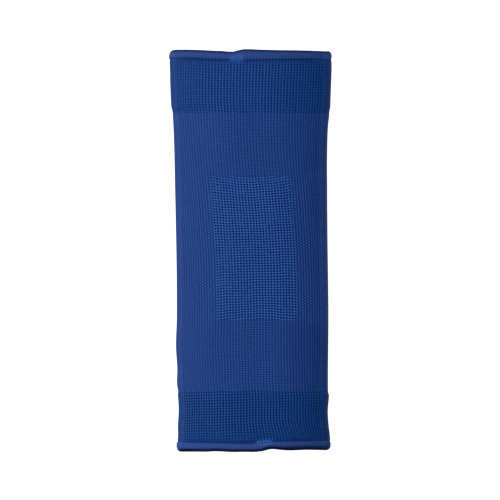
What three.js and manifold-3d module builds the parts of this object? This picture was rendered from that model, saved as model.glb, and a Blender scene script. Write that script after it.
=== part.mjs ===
// A sliding knee guard: a thick knitted sleeve that a leg slides through, lying relaxed on a table.
// +Y runs to the thigh end, +Z up from the table, and every length is in millimetres.
import * as THREE from 'three';
import { LoftGeometry } from 'three/addons/geometries/LoftGeometry.js';
import { mergeVertices } from 'three/addons/utils/BufferGeometryUtils.js';
import Module from 'manifold-3d';

// Driving dimensions
const LENGTH = 320;
const WALL = 2.4; // plain knit
const CUFF_PROUD = 0.8; // how far the cuffs' thicker knit stands out of the plain knit
const WELT_PROUD = 1.1; // the same for the rolled welts
const PANEL_PROUD = 0.7; // the same for the knee panel's cushion
const FOLD_RADIUS = 6.5; // outside of the two side folds
const GAP = 0.3; // left between neighbouring pieces
const UPPER_CUFF = { from: 109.5, to: 151.8 };
const LOWER_CUFF = { from: -152.2, to: -111.8 };
const UPPER_PEEK = 0.4; // how far the upper welt's back edge shows past its front edge
const LOWER_PEEK = 2.6; // the same for the lower welt

// Steps of the faceted surfaces
const CROWN_STEPS = 18;
const FOLD_STEPS = 6;
const FOOT_STEPS = 6;
const WELT_STEPS = 12;
const ROW_HEIGHT = 15;

// The plain knit's outline seen from above, and its crown's height over the table, at stations along the sleeve
const STATIONS = [
  { along: -155.3, left: -57.2, right: 62.3, height: 17.6 },
  { along: -148.9, left: -56.9, right: 62.3, height: 17.7 },
  { along: -139.4, left: -56.9, right: 61.2, height: 17.8 },
  { along: -127.5, left: -56.3, right: 60.5, height: 18.0 },
  { along: -115.6, left: -56.9, right: 61.4, height: 18.2 },
  { along: -106.0, left: -58.4, right: 61.4, height: 18.4 },
  { along: -94.9, left: -58.2, right: 61.4, height: 18.5 },
  { along: -77.4, left: -59.2, right: 61.6, height: 18.7 },
  { along: -53.6, left: -58.6, right: 61.8, height: 18.9 },
  { along: -31.4, left: -58.6, right: 61.6, height: 19.0 },
  { along: 8.3, left: -59.1, right: 61.1, height: 19.0 },
  { along: 46.5, left: -59.9, right: 60.8, height: 19.0 },
  { along: 79.8, left: -60.6, right: 60.8, height: 18.9 },
  { along: 98.9, left: -61.3, right: 61.5, height: 18.8 },
  { along: 108.4, left: -61.8, right: 62.4, height: 18.7 },
  { along: 117.9, left: -62.4, right: 62.6, height: 18.6 },
  { along: 132.2, left: -63.0, right: 63.1, height: 18.5 },
  { along: 146.5, left: -63.3, right: 63.5, height: 18.3 },
  { along: 156.1, left: -63.4, right: 63.2, height: 18.2 },
];

// How far each welt's back edge stays behind the end of the guard, at places across it
const UPPER_EDGE = [
  { across: -58, drop: 0.35 },
  { across: -35, drop: 0.85 },
  { across: -29, drop: 1.2 },
  { across: -23, drop: 1.35 },
  { across: -16.5, drop: 1.9 },
  { across: -13, drop: 1.75 },
  { across: -10, drop: 0.95 },
  { across: -6, drop: 0.1 },
  { across: 0, drop: 0.0 },
  { across: 8, drop: 0.35 },
  { across: 17, drop: 0.6 },
  { across: 46, drop: 1.05 },
  { across: 60, drop: 1.6 },
];
const LOWER_EDGE = [
  { across: -54, drop: 0.25 },
  { across: -42, drop: 0.25 },
  { across: -35, drop: 0.2 },
  { across: -29, drop: 0.55 },
  { across: -22, drop: 0.35 },
  { across: -15, drop: 0.0 },
  { across: -4, drop: 0.1 },
  { across: 3, drop: 0.05 },
  { across: 8, drop: 0.45 },
  { across: 17, drop: 2.3 },
  { across: 22, drop: 1.85 },
  { across: 27, drop: 1.4 },
  { across: 46, drop: 1.7 },
  { across: 60, drop: 1.4 },
];

// The knee panel's outline, which leans with the knit
const PANEL_OUTLINE = [
  { across: -32.2, along: 59.2 },
  { across: -29.0, along: 12.3 },
  { across: -26.8, along: -55.5 },
  { across: 36.6, along: -54.0 },
  { across: 35.9, along: 12.3 },
  { across: 30.2, along: 59.2 },
];

// The zigzag tacks, laid over the seam between a cuff and its welt
const TACK = { width: 2.2, thread: 0.7, thick: 0.8 };
const UPPER_TACK = { across: -10.1, along: 152.4, turn: 0.12, length: 9.4, strokes: 9 };
const LOWER_TACK = { across: 11.5, along: -151.7, turn: 0.05, length: 11.5, strokes: 11 };

const wasm = await Module();
wasm.setup();

// A smooth curve through a table's columns
function smooth(table, key, ...columns) {
  const values = table.flatMap((row) => columns.map((column) => row[column]));
  return new THREE.CubicInterpolant(table.map((row) => row[key]), values, columns.length);
}

const outline = smooth(STATIONS, 'along', 'left', 'right', 'height');
const upperEdge = smooth(UPPER_EDGE, 'across', 'drop');
const lowerEdge = smooth(LOWER_EDGE, 'across', 'drop');

// One cross-section of the lying sleeve: a flat foot, two side folds and a crown, joined as tangent arcs.
// Its points run over the crown from left to right, down the right fold, back along the foot and up the left fold.
function ring(along, proud, depth) {
  const [left, right, height] = outline.evaluate(along);
  const middle = (left + right) / 2;
  const top = height + proud;
  const fold = FOLD_RADIUS + proud / 2;
  const reach = (right - left) / 2 + proud - fold;
  const crown = reach ** 2 / (2 * (top - 2 * fold)) + top / 2;
  const tilt = Math.asin(reach / (crown - fold));
  const points = [];
  const add = (x, z) => points.push(new THREE.Vector3(middle + x, along, z));
  const arc = (x, z, radius, from, to, steps) => {
    for (let step = 0; step < steps; step++) {
      const angle = THREE.MathUtils.lerp(from, to, step / steps);
      add(x + radius * Math.sin(angle), z + radius * Math.cos(angle));
    }
  };
  arc(0, top - crown, crown - depth, -tilt, tilt, CROWN_STEPS);
  arc(reach, fold, fold - depth, tilt, Math.PI, FOLD_STEPS);
  for (let step = 0; step < FOOT_STEPS; step++) {
    add(reach * (1 - 2 * step / FOOT_STEPS), depth);
  }
  arc(-reach, fold, fold - depth, Math.PI, 2 * Math.PI - tilt, FOLD_STEPS);
  return points;
}

// A length of knitted wall: the outer face there, the inner face back, and a flat rim at each end
function wall(from, to, proud) {
  const rows = Math.ceil((to - from) / ROW_HEIGHT);
  const stations = Array.from({ length: rows + 1 }, (_, row) => THREE.MathUtils.lerp(from, to, row / rows));
  const outer = stations.map((along) => ring(along, proud, 0));
  const inner = stations.map((along) => ring(along, 0, WALL)).reverse();
  return new LoftGeometry([...outer, ...inner, outer[0]]);
}

// A rolled welt: an oval carried round the end of the sleeve, whose free edge wanders as the table says
function welt(seam, end, edge, peek) {
  const side = Math.sign(end);
  const middle = (seam + end) / 2;
  const half = (WALL + WELT_PROUD) / 2;
  const rings = [];
  for (let step = 0; step <= WELT_STEPS; step++) {
    const angle = side * 2 * Math.PI * step / WELT_STEPS;
    const points = ring(middle, WELT_PROUD, half * (1 - Math.sin(angle)));
    for (const point of points) {
      const front = THREE.MathUtils.smoothstep(point.z, FOLD_RADIUS / 2, 2 * FOLD_RADIUS);
      const drop = edge.evaluate(point.x)[0] + peek * front;
      const reach = Math.abs(end - seam) - drop;
      point.y = seam + side * reach * (1 - Math.cos(angle)) / 2;
    }
    rings.push(points);
  }
  return new LoftGeometry(rings);
}

// The upright block that the knee panel is cut out with
function panelBlock(inset) {
  const middle = new THREE.Vector2();
  PANEL_OUTLINE.forEach((corner) => middle.add(new THREE.Vector2(corner.across, corner.along)));
  middle.divideScalar(PANEL_OUTLINE.length);
  const shape = new THREE.Shape(PANEL_OUTLINE.map((corner) => new THREE.Vector2(
    corner.across - inset * Math.sign(corner.across - middle.x),
    corner.along - inset * Math.sign(corner.along - middle.y),
  )));
  const block = new THREE.ExtrudeGeometry(shape, { depth: LENGTH / 2, bevelEnabled: false });
  return block.translate(0, 0, 2 * FOLD_RADIUS - WALL);
}

// One tack: straight strokes of thread from side to side, joined at their ends and laid on the cuff's crown
function tack(place) {
  const [left, right, height] = outline.evaluate(place.along);
  const stride = place.length / place.strokes;
  const strokes = Array.from({ length: place.strokes }, (_, index) => {
    const slant = Math.atan2(stride, TACK.width) * (index % 2 ? 1 : -1);
    const box = new THREE.BoxGeometry(TACK.thread, Math.hypot(stride, TACK.width), TACK.thick);
    return solid(box.rotateZ(slant).translate((index + 0.5) * stride - place.length / 2, 0, 0));
  });
  const across = place.across - (left + right) / 2;
  const crown = ((right - left) / 2 - FOLD_RADIUS) ** 2 / (2 * (height - 2 * FOLD_RADIUS));
  const sag = across ** 2 / (2 * crown);
  return geometryOf(wasm.Manifold.union(strokes))
    .rotateZ(place.turn)
    .rotateY(across / crown)
    .translate(place.across, place.along, height + CUFF_PROUD - sag + GAP + TACK.thick / 2);
}

// Solids for cutting, and back
function solid(geometry) {
  const plain = new THREE.BufferGeometry().copy(geometry);
  const bare = mergeVertices(plain.deleteAttribute('normal').deleteAttribute('uv'));
  return new wasm.Manifold(new wasm.Mesh({
    numProp: 3,
    vertProperties: new Float32Array(bare.attributes.position.array),
    triVerts: new Uint32Array(bare.index.array),
  }));
}

function geometryOf(shape) {
  const mesh = shape.getMesh();
  const geometry = new THREE.BufferGeometry();
  geometry.setAttribute('position', new THREE.BufferAttribute(mesh.vertProperties, 3));
  geometry.setIndex(new THREE.BufferAttribute(mesh.triVerts, 1));
  return geometry;
}

// The colours of the yarns
const yarn = (color) => new THREE.MeshStandardMaterial({ color, roughness: 0.92, metalness: 0 });
const BODY_YARN = yarn(0x233d79);
const CUFF_YARN = yarn(0x1a3a75);
const PANEL_YARN = yarn(0x213f7d);
const WELT_YARN = yarn(0x2c427f);
const TACK_THREAD = yarn(0x4576b4);

const tube = solid(wall(LOWER_CUFF.to + GAP, UPPER_CUFF.from - GAP, 0));
const cushion = solid(wall(LOWER_CUFF.to + GAP, UPPER_CUFF.from - GAP, PANEL_PROUD));

const guard = new THREE.Group();
const add = (name, geometry, material) => {
  const mesh = new THREE.Mesh(geometry, material);
  mesh.name = name;
  guard.add(mesh);
};
add('sleeve_body', geometryOf(tube.subtract(solid(panelBlock(0)))), BODY_YARN);
add('knee_panel', geometryOf(cushion.intersect(solid(panelBlock(GAP)))), PANEL_YARN);
add('upper_cuff', wall(UPPER_CUFF.from, UPPER_CUFF.to, CUFF_PROUD), CUFF_YARN);
add('lower_cuff', wall(LOWER_CUFF.from, LOWER_CUFF.to, CUFF_PROUD), CUFF_YARN);
add('upper_welt', welt(UPPER_CUFF.to + GAP, LENGTH / 2, upperEdge, UPPER_PEEK), WELT_YARN);
add('lower_welt', welt(LOWER_CUFF.from - GAP, -LENGTH / 2, lowerEdge, LOWER_PEEK), WELT_YARN);
add('upper_tack', tack(UPPER_TACK), TACK_THREAD);
add('lower_tack', tack(LOWER_TACK), TACK_THREAD);

export default guard;
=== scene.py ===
"""Looks of a sliding knee guard: a knitted sleeve lying relaxed on a pale table.

The guard is one knitted tube whose knit changes along it. Each stretch is a closed shell with the stitches
raised in its mesh, in metres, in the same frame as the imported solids: +Y to the thigh end and +Z up.
"""

import logging
import math
from dataclasses import dataclass, field
from enum import Enum
from typing import Any, Dict, List, NamedTuple, Optional, Sequence, Tuple, Union

import bpy
import numpy as np
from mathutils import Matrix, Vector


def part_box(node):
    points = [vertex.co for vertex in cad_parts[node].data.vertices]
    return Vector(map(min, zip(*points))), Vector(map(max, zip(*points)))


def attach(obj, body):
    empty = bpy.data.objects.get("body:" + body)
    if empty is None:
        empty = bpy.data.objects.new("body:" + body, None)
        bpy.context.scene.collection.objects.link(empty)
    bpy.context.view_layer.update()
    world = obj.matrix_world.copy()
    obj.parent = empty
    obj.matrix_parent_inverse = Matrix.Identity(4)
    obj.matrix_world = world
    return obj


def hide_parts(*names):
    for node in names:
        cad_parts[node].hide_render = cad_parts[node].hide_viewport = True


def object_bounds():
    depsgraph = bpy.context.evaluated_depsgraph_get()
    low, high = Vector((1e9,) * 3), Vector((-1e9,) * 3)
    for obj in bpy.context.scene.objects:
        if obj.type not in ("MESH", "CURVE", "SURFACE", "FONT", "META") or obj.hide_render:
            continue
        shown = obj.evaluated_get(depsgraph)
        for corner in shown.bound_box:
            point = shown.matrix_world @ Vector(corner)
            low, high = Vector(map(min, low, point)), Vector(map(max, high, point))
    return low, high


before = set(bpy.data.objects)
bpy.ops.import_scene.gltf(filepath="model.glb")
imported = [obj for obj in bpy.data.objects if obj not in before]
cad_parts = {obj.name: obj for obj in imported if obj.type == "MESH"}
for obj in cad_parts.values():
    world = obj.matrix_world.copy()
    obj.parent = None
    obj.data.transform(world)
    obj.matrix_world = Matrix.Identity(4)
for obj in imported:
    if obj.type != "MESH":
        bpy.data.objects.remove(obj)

CAD_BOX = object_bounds()
LOG = logging.getLogger("knee_guard")
MM = 0.001
BODY = "root"
TURN = 2 * math.pi
WHITE = (1.0, 1.0, 1.0)

Array = np.ndarray
Number = Union[float, np.ndarray]
Colour = Tuple[float, float, float]
Range = Tuple[float, float]
LeftRight = Tuple[float, float]


class Station(NamedTuple):
    """One section of the plain knit, in millimetres: its place, its edges seen from above and its crown."""

    along: float
    left: float
    right: float
    height: float


class EdgePoint(NamedTuple):
    """How far an edge or a seam lies towards the guard's middle at one place across it, in millimetres."""

    across: float
    drop: float


class Drift(NamedTuple):
    """How far the wales have wandered round the sleeve at one place along it, in millimetres."""

    along: float
    shift: float


class Spacing(NamedTuple):
    """How far apart the wales stand at one share of the way round, next to those at the crown's middle."""

    turn: float
    share: float


class Gauge(NamedTuple):
    """The courses at one place along the sleeve: their pitch in millimetres, and their slope on the crown.

    The slope to the right and down is the tilt plus the curve times the place across in millimetres.
    """

    along: float
    pitch: float
    tilt: float
    curve: float


class Wave(NamedTuple):
    """A slow wave in the knit: its size, length per radian, rounds about the sleeve and start."""

    size: float
    length: float
    rounds: int
    start: float = 0.0


STATIONS = (
    Station(-155.3, -57.85, 62.65, 17.6),
    Station(-148.9, -56.9, 62.4, 17.7),
    Station(-139.4, -56.9, 61.3, 17.8),
    Station(-127.5, -56.3, 60.6, 18.0),
    Station(-115.6, -56.9, 61.5, 18.2),
    Station(-106.0, -58.4, 61.5, 18.4),
    Station(-94.9, -58.2, 61.5, 18.5),
    Station(-77.4, -59.2, 61.7, 18.7),
    Station(-53.6, -58.6, 61.9, 18.9),
    Station(-31.4, -58.6, 61.7, 19.0),
    Station(8.3, -59.1, 61.2, 19.0),
    Station(46.5, -59.9, 60.9, 19.0),
    Station(79.8, -60.6, 60.9, 18.9),
    Station(98.9, -61.3, 61.6, 18.8),
    Station(108.4, -61.8, 62.5, 18.7),
    Station(117.9, -62.4, 62.7, 18.6),
    Station(132.2, -63.0, 63.2, 18.5),
    Station(146.5, -63.3, 63.6, 18.3),
    Station(156.1, -63.85, 63.45, 18.2),
)
UPPER_EDGE = (
    EdgePoint(-64.9, 3.6),
    EdgePoint(-64.1, 2.0),
    EdgePoint(-63.2, 1.3),
    EdgePoint(-62.0, 0.95),
    EdgePoint(-60.8, 0.6),
    EdgePoint(-59.0, 0.4),
    EdgePoint(-56, 0.35),
    EdgePoint(-35, 0.85),
    EdgePoint(-29, 1.2),
    EdgePoint(-23, 1.35),
    EdgePoint(-16.5, 1.9),
    EdgePoint(-13, 1.75),
    EdgePoint(-10, 0.95),
    EdgePoint(-6, 0.1),
    EdgePoint(0, 0.0),
    EdgePoint(8, 0.35),
    EdgePoint(17, 0.6),
    EdgePoint(46, 1.05),
    EdgePoint(60, 1.6),
)
LOWER_EDGE = (
    EdgePoint(-54, 0.0),
    EdgePoint(-42, 0.0),
    EdgePoint(-35, -0.05),
    EdgePoint(-29, 0.3),
    EdgePoint(-22, 0.1),
    EdgePoint(-15, -0.25),
    EdgePoint(-4, -0.15),
    EdgePoint(3, -0.2),
    EdgePoint(8, 0.2),
    EdgePoint(17, 2.1),
    EdgePoint(22, 1.65),
    EdgePoint(27, 1.2),
    EdgePoint(46, 1.5),
    EdgePoint(60, 1.2),
)
UPPER_SWAY = (
    EdgePoint(-64, -0.8),
    EdgePoint(-50, -0.8),
    EdgePoint(-36, 0.0),
    EdgePoint(60, 0.0),
)
LOWER_SWAY = (
    EdgePoint(-57, 0.0),
    EdgePoint(-42, 0.0),
    EdgePoint(-27, -0.45),
    EdgePoint(-8, -0.85),
    EdgePoint(4, -0.8),
    EdgePoint(12, 0.0),
    EdgePoint(20, 0.8),
    EdgePoint(30, 1.0),
    EdgePoint(50, 1.2),
)
WALE_DRIFT = (
    Drift(-152, 5.9),
    Drift(-96, 5.3),
    Drift(-42, 4.7),
    Drift(2, 3.9),
    Drift(24, 2.8),
    Drift(44, 1.4),
    Drift(73, -0.8),
    Drift(97, -1.9),
    Drift(117, -2.2),
    Drift(153, -1.4),
)
WALE_SPACING = (
    Spacing(0.0, 1.0),
    Spacing(0.11, 0.98),
    Spacing(0.145, 0.93),
    Spacing(0.18, 0.84),
    Spacing(0.215, 0.8),
    Spacing(0.27, 0.82),
    Spacing(0.35, 0.92),
    Spacing(0.5, 0.95),
)
BODY_GAUGE = (
    Gauge(-112, 1.88, 0.03, -0.0035),
    Gauge(-96, 1.87, 0.03, -0.0035),
    Gauge(-69, 1.79, 0.04, -0.0035),
    Gauge(-56, 1.79, 0.0, -0.0005),
    Gauge(-54, 2.24, -0.01, 0.0),
    Gauge(-42, 2.24, -0.02, 0.0015),
    Gauge(-33, 2.14, -0.022, 0.001),
    Gauge(-19, 2.15, -0.025, 0.0007),
    Gauge(3, 2.11, -0.025, -0.0007),
    Gauge(24, 2.07, -0.02, -0.0027),
    Gauge(44, 2.04, -0.01, -0.0045),
    Gauge(58, 2.04, 0.0, 0.0),
    Gauge(60, 1.7, 0.0, 0.001),
    Gauge(73, 1.7, 0.0, 0.005),
    Gauge(86, 1.66, -0.03, 0.0028),
    Gauge(97, 1.74, -0.05, 0.0017),
    Gauge(110, 1.78, -0.05, 0.001),
)
PANEL_GAUGE = (
    Gauge(-56, 2.1, -0.01, 0.0045),
    Gauge(-42, 2.14, -0.02, 0.0025),
    Gauge(-33, 2.14, -0.022, 0.0012),
    Gauge(-19, 2.15, -0.025, 0.0007),
    Gauge(3, 2.11, -0.025, -0.0007),
    Gauge(24, 2.07, -0.02, -0.0027),
    Gauge(44, 2.04, -0.01, -0.005),
    Gauge(60, 2.04, 0.0, -0.0095),
)
UPPER_CUFF_GAUGE = (Gauge(109, 2.2, 0.025, -0.0006), Gauge(153, 2.2, 0.015, -0.0008))
LOWER_CUFF_GAUGE = (Gauge(-153, 2.08, -0.03, 0.001), Gauge(-111, 2.2, -0.03, 0.0005))
WALE_WAVES = (
    Wave(0.05 * MM, 13 * MM, 4),
    Wave(0.05 * MM, 29 * MM, -2, 2.0),
    Wave(0.035 * MM, 6 * MM, 45),
    Wave(0.035 * MM, 10 * MM, -69),
)
COURSE_WAVES = (Wave(0.05, 17 * MM, 11), Wave(0.05, -11 * MM, 7), Wave(0.05, 31 * MM, 23))


def smoothstep(low: Number, high: Number, value: Array) -> Array:
    """Rises from 0 at low to 1 at high with level ends."""
    share = np.clip((value - low) / (high - low), 0, 1)
    return share * share * (3 - 2 * share)


def ripple(waves: Sequence[Wave], angle: Array, along: Array) -> Array:
    """Sums sine waves of the angle round the sleeve and the place along it."""
    return sum(wave.size * np.sin(along / wave.length + wave.rounds * angle + wave.start) for wave in waves)


@dataclass(frozen=True)
class SmoothTable:
    """Cubic curves through the columns of a table, whose first column is the key."""

    rows: Array

    @classmethod
    def of(cls, table: Sequence[Tuple[float, ...]]) -> "SmoothTable":
        """Takes a table in millimetres."""
        return cls(np.array(table, float) * MM)

    def at(self, where: Array) -> Array:
        """Reads the columns, holding the end rows' values past them.

        Between two rows the curve is a Hermite cubic, with each row's slope taken from its neighbours.

        Args:
            where: Keys to read at, of any shape.

        Returns:
            The columns' values, in a last axis of their own.
        """
        keys, values = self.rows[:, 0], self.rows[:, 1:]
        slopes = np.gradient(values, keys, axis=0)
        first = np.clip(np.searchsorted(keys, where) - 1, 0, len(keys) - 2)
        span = (keys[first + 1] - keys[first])[..., None]
        share = np.clip((where[..., None] - keys[first][..., None]) / span, 0, 1)
        square, cube = share**2, share**3
        return (
            (2 * cube - 3 * square + 1) * values[first]
            + (cube - 2 * square + share) * span * slopes[first]
            + (3 * square - 2 * cube) * values[first + 1]
            + (cube - square) * span * slopes[first + 1]
        )

    def read(self, where: Array) -> Array:
        """Reads the first column after the key."""
        return self.at(where)[..., 0]


class Section(NamedTuple):
    """Sections of the outer face: a flat foot, two side folds and a crown, joined as tangent arcs."""

    middle: Array
    top: Array
    fold: Number
    reach: Array
    crown: Array
    tilt: Array

    @property
    def over_crown(self) -> Array:
        """Length of the crown's arc from its middle to a side fold."""
        return self.crown * self.tilt

    @property
    def round_fold(self) -> Array:
        """Length of a side fold's arc."""
        return self.fold * (math.pi - self.tilt)

    @property
    def around(self) -> Array:
        """Length all round."""
        return 2 * (self.over_crown + self.round_fold + self.reach)


@dataclass(frozen=True)
class SleeveForm:
    """The outer face of the plain knit as it lies, and the wales that run along it."""

    fold_radius: float = 6.5 * MM
    wall: float = 2.4 * MM
    shoulder: float = 5.0 * MM
    wales: int = 118
    turn_steps: int = 1001
    crown_end: Range = (0.17, 0.21)
    fold_start: Range = (0.205, 0.23)
    fold_stop: Range = (0.28, 0.31)
    front_rise: Range = (0.5, 2.0)
    stations: SmoothTable = field(default_factory=lambda: SmoothTable.of(STATIONS))
    drift: SmoothTable = field(default_factory=lambda: SmoothTable.of(WALE_DRIFT))

    def all_wales(self, per_wale: int) -> Array:
        """Wale numbers all round in equal steps, as one row that starts and ends at the foot's middle."""
        half = self.wales / 2
        return np.arange(-half, half, 1 / per_wale)[None, :]

    def turn_of(self, wale: Array) -> Array:
        """Turns a wale's number into its share of the way round.

        The wales stand closer at the side folds than on the crown: the number of wales up to a share
        of the way is the sum of one over their spacing, and that is read backwards.

        Args:
            wale: Wale numbers.

        Returns:
            Shares of the way round, 0 at the crown's middle.
        """
        turns, spacing = np.array(WALE_SPACING).T
        share = np.linspace(0, 0.5, self.turn_steps)
        density = 1 / np.interp(share, turns, spacing)
        count = np.cumsum(density) - density[0]
        return np.sign(wale) * np.interp(np.abs(wale) / self.wales, 0.5 * count / count[-1], share)

    def across(self, wale: Array) -> Array:
        """How far across the crown a wale lies: the sine of its way round, times the girth's radius."""
        return np.sin(TURN * self.turn_of(wale)) * self.girth(np.array(0.0)) / TURN

    def turn_at(self, wale: Array, along: Array) -> Array:
        """The share of the way round where a wale lies at a place along the sleeve, with its drift there."""
        return self.turn_of(wale) + self.drift.read(along) / self.girth(along)

    def crown_share(self, wale: Array, along: Array) -> Array:
        """Marks the crown: 1 on it and 0 from the side folds on."""
        return 1 - smoothstep(*self.crown_end, np.abs(self.turn_at(wale, along)))

    def fold_share(self, wale: Array, along: Array) -> Array:
        """Marks the side folds, which stretch the stitches smooth: 1 on them and 0 on crown and foot."""
        turn = np.abs(self.turn_at(wale, along))
        return smoothstep(*self.fold_start, turn) * (1 - smoothstep(*self.fold_stop, turn))

    def front_share(self, height: Array, proud: Number = 0.0) -> Array:
        """Marks the front by a point's height in fold radii: 0 on the foot and 1 above the side folds."""
        fold = self.fold_radius + proud / 2
        return smoothstep(*(share * fold for share in self.front_rise), height)

    def section(self, along: Array, proud: Number = 0.0) -> Section:
        """Works out the sections at some places along the sleeve.

        The crown's radius is the square of the reach to a fold's centre over twice the room above the
        folds, plus half the height. Its tilt is the angle from its top to where it meets the fold.

        Args:
            along: Places along the sleeve.
            proud: How far the outer face stands out of the plain knit's.

        Returns:
            The sections.
        """
        left, right, height = np.moveaxis(self.stations.at(along), -1, 0)
        top = height + proud
        fold = self.fold_radius + proud / 2
        reach = (right - left) / 2 + proud - fold
        crown = reach**2 / (2 * (top - 2 * fold)) + top / 2
        return Section((left + right) / 2, top, fold, reach, crown, np.arcsin(reach / (crown - fold)))

    def girth(self, along: Array) -> Array:
        """Length round the outer face."""
        return self.section(along).around

    def fullness(self, share: Array) -> Array:
        """The right shoulder's fullness: the square less the fourth power of the share of the way out."""
        out = np.clip(share, 0, 1)
        return self.shoulder * (out**2 - out**4)

    def crown_height(self, across: Array, along: Array) -> Array:
        """Finds the height of the crown: its top, less its rise times the squared share of the way out.

        Args:
            across: Places across the guard.
            along: Places along it.

        Returns:
            Heights, with the right shoulder's fullness.
        """
        section = self.section(along)
        share = (across - section.middle) / section.reach
        return section.top - (section.top - 2 * section.fold) * share**2 + self.fullness(share)

    def face(
        self, wale: Array, along: Array, depth: Number = 0.0, proud: Number = 0.0, pull: Number = 0.0
    ) -> Array:
        """Places points by wale, place along the sleeve and depth under its outer face.

        A point is found by its walk from the crown's middle, first round the crown, then round a fold,
        then along the foot, and is moved inwards along the arc's radius by its depth. Above the folds, the
        right shoulder's fullness is added to its height.

        Args:
            wale: Wale numbers, 0 at the crown's middle.
            along: Places along the sleeve.
            depth: How deep under the outer face each point lies.
            proud: How far this stretch's outer face stands out of the plain knit's.
            pull: How far the points are pulled round the sleeve.

        Returns:
            Points in a last axis of three.
        """
        wale, along, depth = np.broadcast_arrays(wale, along, depth)
        section = self.section(along, proud)
        middle, top, fold, reach, crown, tilt = section
        wander = ripple(WALE_WAVES, TURN * wale / self.wales, along)
        turn = self.turn_of(wale) + (self.drift.read(along) + wander + pull) / section.around
        turn = (turn + 0.5) % 1 - 0.5
        walk = np.abs(turn) * section.around
        past_crown = walk - section.over_crown
        on_crown = past_crown < 0
        angle = np.where(on_crown, walk / crown, np.minimum(tilt + past_crown / fold, math.pi))
        radius = np.where(on_crown, crown, fold) - depth
        centre_x = np.where(on_crown, 0, reach - np.maximum(past_crown - section.round_fold, 0))
        centre_z = np.where(on_crown, top - crown, fold)
        x = np.sign(turn) * (centre_x + radius * np.sin(angle))
        z = centre_z + radius * np.cos(angle)
        z = z + self.fullness(x / reach) * self.front_share(z, proud)
        return np.stack([x + middle, along, z], axis=-1)


class Knit(Enum):
    """The knits of the guard, each with the share of its relief that runs across it: 0 leaves plain ribs."""

    RIB = 0.45
    CUFF = 0.33
    WAFFLE = 0.53
    PLAIN = 0.0


class Mark(Enum):
    """Numbers kept on a mesh's points: the strength of ribs and courses, painted shade and light, folds and
    strips.
    """

    WALE = "wale_bite"
    COURSE = "course_bite"
    # Painted shade on the yarn's colour and coat; values below 0 are painted light.
    PAINTED_SHADE = "painted_shade"
    FOLD = "fold"
    STRIP = "strip"


def hollow(wale: Array, course: Array, knit: Knit) -> Array:
    """Finds how deep a point lies in its stitch.

    It is the mean of two raised cosines, across the wales and across the courses, weighed by the
    knit's share.

    Args:
        wale: Wale numbers.
        course: Course numbers.
        knit: The knit.

    Returns:
        Depths from 0 where a wale meets a course's bar to 1 between four stitches.
    """
    gap = 0.5 - 0.5 * np.cos(TURN * wale)
    pit = 0.5 - 0.5 * np.cos(TURN * course)
    return gap + knit.value * (pit - gap)


@dataclass(frozen=True)
class Courses:
    """Numbers the courses of a stretch of knit by its gauges."""

    gauges: Tuple[Gauge, ...]
    steps: int = 2001

    def at(self, form: SleeveForm, wale: Array, along: Array) -> Array:
        """Finds course numbers at wales and places along the sleeve.

        The number is the sum of one over the pitch from the table's first row. The tilt times the place
        across, and the curve times half its square, move it along the sleeve, and slow waves make it
        uneven.

        Args:
            form: The sleeve's form.
            wale: Wale numbers.
            along: Places along the sleeve.

        Returns:
            Course numbers.
        """
        places, pitches, tilts, curves = np.array(self.gauges).T
        fine = np.linspace(places[0], places[-1], self.steps)
        count = np.cumsum(1 / np.interp(fine, places, pitches)) * (fine[1] - fine[0])
        place, side = along / MM, form.across(wale) / MM
        slope = np.interp(place, places, tilts) * side + np.interp(place, places, curves) * side**2 / 2
        straight = np.interp(place, fine, count) + slope / np.interp(place, places, pitches)
        return straight + ripple(COURSE_WAVES, TURN * wale / form.wales, along)


class Sheet(NamedTuple):
    """A grid of a skin's point numbers, with each point's place in the knit."""

    numbers: Array
    knit: Array

    def line(self, row: Union[int, slice], column: Union[int, slice]) -> "Sheet":
        """One line of the grid, along a row or a column."""
        return Sheet(self.numbers[row, column], self.knit[row, column])


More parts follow.
